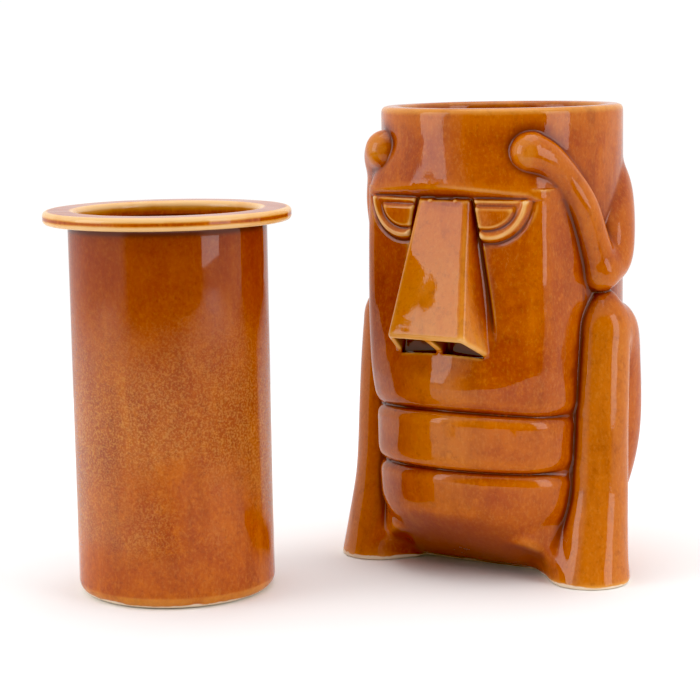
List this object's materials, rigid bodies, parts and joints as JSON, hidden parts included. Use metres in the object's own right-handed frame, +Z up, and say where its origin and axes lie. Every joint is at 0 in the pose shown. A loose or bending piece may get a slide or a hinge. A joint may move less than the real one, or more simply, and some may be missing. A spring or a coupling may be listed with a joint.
{
  "type": "tiki mug with inner cup",
  "caption": "Glazed ceramic mug modelled as a squatting figure round a deep well, with a removable straight inner cup that has a flat flange.",
  "frame": {"origin": "on the axis of the mug's round well, at the table, on the flat underside", "axes": "+Z up along the well's axis; the figure looks along -Y; the inner cup stands beside the mug towards -X and -Y"},
  "size_m": [0.1846, 0.1843, 0.17],
  "materials": {
    "mug_glaze": "gloss",
    "cup_glaze": "gloss"
  },
  "bodies": {
    "outer_mug": {"outer_mug": "mug_glaze"},
    "inner_cup": {"inner_cup": "cup_glaze"}
  },
  "joints": [
    {"name": "inner_cup_lift", "type": "slide", "parent": "outer_mug", "child": "inner_cup", "axis": [0, 0, 1], "range_m": [0, 0.18]}
  ]
}
